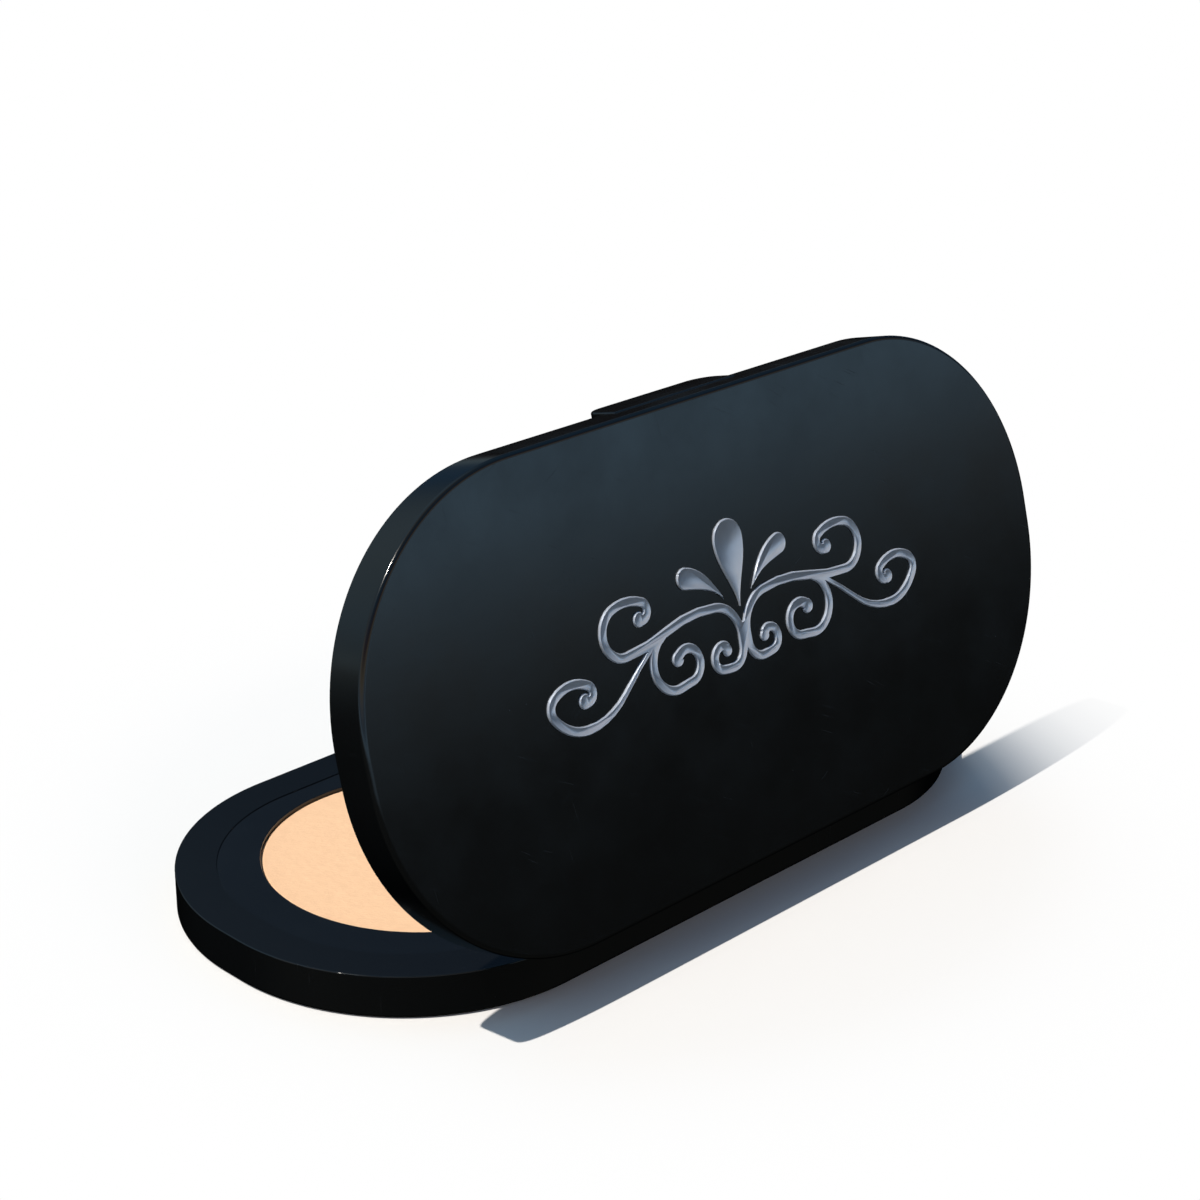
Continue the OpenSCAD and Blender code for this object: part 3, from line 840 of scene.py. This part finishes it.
# %% Mirror and bezel
def make_bezel():
    piece = case_block("mirror_bezel", bezel_z, roof_z, wall + drop_in)
    hollow_ring(roof_z, bezel_z, mirror_z, mirror_z,
                (bezel_w - mirror_under - drop_in - wall - drop_in, mirror_under + drop_in - 0.01),
                (bezel_w - wall - drop_in, 0.01))
    pick("edges", lambda e: rim_edges(e, bezel_z))
    bpy.ops.mesh.bevel(offset=0.25, segments=4, affect="EDGES")
    bpy.ops.object.mode_set(mode="OBJECT")
    swing_open(piece)
    return finish_piece(piece, "lid", satin, "mirror_frame", slot="satin_black")


def make_mirror():
    piece = case_block("mirror_pane", mirror_z, mirror_z + mirror_t, bezel_w - mirror_under)
    soften(mirror_z, 0.15, 2)
    soften(mirror_z + mirror_t, 0.15, 2)
    bpy.ops.object.mode_set(mode="OBJECT")
    swing_open(piece)
    return finish_piece(piece, "lid", mirror_finish, "mirror_glass", slot="mirror_glass")


mirror_bezel = make_bezel()
mirror_pane = make_mirror()

# %% [markdown]
# ## Ornament
# The scrolls and drops are thin plates. Their plan comes from the CAD nodes, which
# are already joined into one outline. A copy has its doubles merged and its flat top
# made one face. Two insets follow: the outer one leaves a slope that falls to the
# outside, the inner one sinks the face a little, so that a fine crest runs all round
# and catches the light on both sides.

# %% Ornament
def make_plate(node, name, pointed, slope=0.11, drop=0.13, lip=0.05, sink=0.05):
    source = frame["nodes"][node]
    piece = source.copy()
    piece.data = source.data.copy()
    piece.parent = None
    piece.name = name
    bpy.context.scene.collection.objects.link(piece)
    piece.hide_render = piece.hide_viewport = False
    pivot = Vector((0, hinge_y, hinge_z))
    piece.data.transform(Matrix.Translation(pivot) @ Matrix.Rotation(lid_open, 4, "X")
                         @ Matrix.Translation(-pivot) @ Matrix.Scale(1 / MM, 4))
    only(piece)
    top = lid_top_z + relief
    bpy.ops.object.mode_set(mode="EDIT")
    bpy.ops.mesh.select_all(action="SELECT")
    bpy.ops.mesh.remove_doubles(threshold=0.05)
    pick("faces", lambda f: level(f, top, 0.01))
    bpy.ops.mesh.dissolve_faces()
    mesh = bmesh.from_edit_mesh(piece.data)
    face = max(mesh.faces, key=lambda f: f.calc_area() * f.normal.z)
    middle = face.calc_center_median()
    tip = max((v.co.copy() for v in face.verts), key=lambda co: (co - middle).length)
    for width, step in ((slope, 0.0), (lip, -sink)):
        bmesh.ops.inset_region(mesh, faces=[face], thickness=width, use_even_offset=False, use_boundary=True)
        inner = set(face.verts)
        for v in inner:
            # a pointed plate is inset less and less towards its tip
            was = next(e.other_vert(v) for e in v.link_edges if e.other_vert(v) not in inner).co
            share = min(1.0, (was - tip).length / 3.0) if pointed else 1.0
            v.co = was + (v.co - was) * share
            v.co.z += step
        if step == 0.0:
            for v in mesh.verts:
                if v not in inner and v.co.z > top - 0.01:
                    v.co.z -= drop
    bmesh.update_edit_mesh(piece.data)
    bpy.ops.object.mode_set(mode="OBJECT")
    swing_open(piece)
    return finish_piece(piece, "lid", silver, node, slot="ornament_silver", smooth=28, weighted=False)


ornament = [make_plate("scrollwork", "scroll_plate", False)]
ornament += [make_plate("drop_" + part, part + "_drop", True) for part in ("centre", "left", "right")]

# %% [markdown]
# ## Puff
# The pad is a flat round cushion. It is swelled by a short cloth simulation with a
# little pressure, at twenty times its size, because cloth behaves badly when it is
# only millimetres thick. The seam is pinned, so the sides pull in towards it.

# %% Puff pad
PUFF_SCALE = 0.02


def swell(piece, seam_z):
    """Blow the pad up a little with the Cloth modifier, holding its seam."""
    only(piece)
    piece.data.transform(Matrix.Scale(PUFF_SCALE, 4))
    start = [v.co.copy() for v in piece.data.vertices]
    group = piece.vertex_groups.new(name="seam")
    edge = (puff_r - 0.35) * PUFF_SCALE
    for v in piece.data.vertices:
        if math.hypot(v.co.x, v.co.y) > edge and abs(v.co.z - seam_z * PUFF_SCALE) < 0.3 * PUFF_SCALE:
            group.add([v.index], 1.0, "REPLACE")
    cloth = piece.modifiers.new("swell", "CLOTH")
    cloth.settings.quality = 6
    cloth.settings.mass = 0.15
    cloth.settings.tension_stiffness = 25
    cloth.settings.bending_stiffness = 0.8
    cloth.settings.use_pressure = True
    cloth.settings.uniform_pressure_force = 3.0
    cloth.settings.vertex_group_mass = "seam"
    cloth.settings.effector_weights.gravity = 0.0
    cloth.collision_settings.use_collision = False
    cloth.point_cache.frame_start, cloth.point_cache.frame_end = 1, 20
    scene = bpy.context.scene
    for step in range(1, 21):
        scene.frame_set(step)
    bpy.ops.object.modifier_apply(modifier="swell")
    scene.frame_set(1)
    cap = 0.45 * PUFF_SCALE
    most = 0.0
    for v, was in zip(piece.data.vertices, start):
        move = v.co - was
        most = max(most, move.length)
        if move.length > cap:
            v.co = was + move * (cap / move.length)
    piece.data.transform(Matrix.Scale(1 / PUFF_SCALE, 4))
    piece.vertex_groups.clear()
    print("the pad swelled by up to", round(most / PUFF_SCALE, 2), "mm, held to", 0.45)


def make_pad():
    low, high = pad_box[0][2], pad_box[1][2]
    thick = high - low
    seam_z = thick - 0.9
    r = puff_r - 0.35
    piece = upright("puff_velour", r, 0, 0, 0.45, thick - 0.25, 96)
    bpy.ops.object.mode_set(mode="EDIT")
    for z in (0.45, thick - 0.25):
        pick("edges", lambda e: rim_edges(e, z))
        bpy.ops.mesh.bevel(offset=1.3 if z < 1 else 0.7, segments=5, affect="EDGES")
        pick("faces", lambda f: level(f, z) and len(f.verts) > 8)
        for _ in range(13):
            inset(1.1)
        bpy.ops.mesh.poke()
    bpy.ops.object.mode_set(mode="OBJECT")
    swell(piece, seam_z)
    for v in piece.data.vertices:
        reach = math.hypot(v.co.x, v.co.y)
        v.co.z = min(v.co.z, thick - 0.02)
        if reach > puff_r:
            v.co.x, v.co.y = v.co.x * puff_r / reach, v.co.y * puff_r / reach
        nap = noise.fractal(Vector((v.co.x, v.co.y, v.co.z)) * 0.5, 1.0, 2.0, 3)
        v.co.z = max(0.0, v.co.z + 0.06 * nap)
    mod = piece.modifiers.new("smooth", "SUBSURF")
    mod.levels = mod.render_levels = 1
    only(piece)
    bpy.ops.object.modifier_apply(modifier="smooth")
    piece.data.transform(Matrix.Translation((puff_x, 0, low)))
    piece = finish_piece(piece, "puff", velour, "puff_pad", slot="puff_cotton", smooth=60, weighted=False)
    return piece


puff_velour = make_pad()

# %% [markdown]
# ## Satin back and ribbon
# The back is a thin satin disc with a rolled hem and shallow puckers along its seam.
# The ribbon is a flat strip across it. Its two ends are caught in the seam, and its
# middle stands a little proud, so that two fingers can slip under it.

# %% Satin back
def make_back():
    box = box_mm("puff_back")
    r, low, high = (box[1][0] - box[0][0]) / 2, box[0][2], box[1][2]
    piece = upright("puff_backing", r, 0, 0, 0, high - low, 144)
    bpy.ops.object.mode_set(mode="EDIT")
    for z, width in ((high - low, 0.12), (0, 0.05)):
        pick("edges", lambda e: rim_edges(e, z))
        bpy.ops.mesh.bevel(offset=width, segments=3, affect="EDGES")
    pick("faces", lambda f: level(f, high - low) and len(f.verts) > 8)
    for _ in range(18):
        inset(0.8)
    bpy.ops.mesh.poke()
    bpy.ops.object.mode_set(mode="OBJECT")
    for v in piece.data.vertices:
        reach, angle = math.hypot(v.co.x, v.co.y), math.atan2(v.co.y, v.co.x)
        if v.co.z > 0.1:
            hem = math.exp(-((reach - (r - 1.3)) / 0.35) ** 2)
            pucker = math.sin(angle * 44) * math.exp(-((reach - (r - 2.2)) / 1.4) ** 2)
            v.co.z -= 0.09 * hem + 0.035 * (pucker + 1)
    piece.data.transform(Matrix.Translation((puff_x, 0, low)))
    return finish_piece(piece, "puff", satin_cloth, "puff_back", slot="puff_satin", smooth=60, weighted=False)


puff_backing = make_back()

# %% Ribbon
def make_ribbon():
    box = box_mm("puff_ribbon")
    low = box[0][2]
    half_l = (box[1][0] - box[0][0]) / 2 - 0.3
    width = box[1][1] - box[0][1]
    deselect_all()
    bpy.ops.mesh.primitive_grid_add(x_subdivisions=60, y_subdivisions=16, size=1)
    piece = bpy.context.object
    piece.name = "ribbon_band"
    piece.scale = (2 * half_l, width, 1)
    bpy.ops.object.transform_apply(location=True, rotation=True, scale=True)
    for v in piece.data.vertices:
        along, across = v.co.x / half_l, v.co.y / (width / 2)
        arch = (1 - along * along) ** 2
        fold = 0.03 * math.sin(across * 9 + along * 4) * arch
        v.co.z = 0.05 + 0.22 * arch + fold - 0.03 * across * across
        v.co.y *= 1 - 0.10 * along ** 4
    mod = piece.modifiers.new("cloth", "SOLIDIFY")
    mod.thickness, mod.offset = 0.10, -1
    only(piece)
    bpy.ops.object.modifier_apply(modifier="cloth")
    piece.data.transform(Matrix.Translation((puff_x, 0, low + 0.04)))
    piece = finish_piece(piece, "puff", ribbon_cloth, "puff_ribbon", slot="puff_satin", smooth=50, weighted=False)
    return piece


ribbon_band = make_ribbon()

# %% [markdown]
# ## The rest of the frame
# The pins, the pan, the cover, the tape and the label already have the right shape,
# so they stay as they are and only get their finishes.

# %% Finishes on the CAD nodes
def dress(node, material):
    data = frame["nodes"][node].data
    data.materials.clear()
    data.materials.append(material)


for node, material in (("bottom_cover", satin), ("bottom_label", paper), ("powder_pan", aluminium),
                       ("pan_adhesive", foam), ("hinge_pin_left", steel), ("hinge_pin_right", steel),
                       ("mirror_adhesive", foam)):
    dress(node, material)
    print(node, "is finished in", material.name)
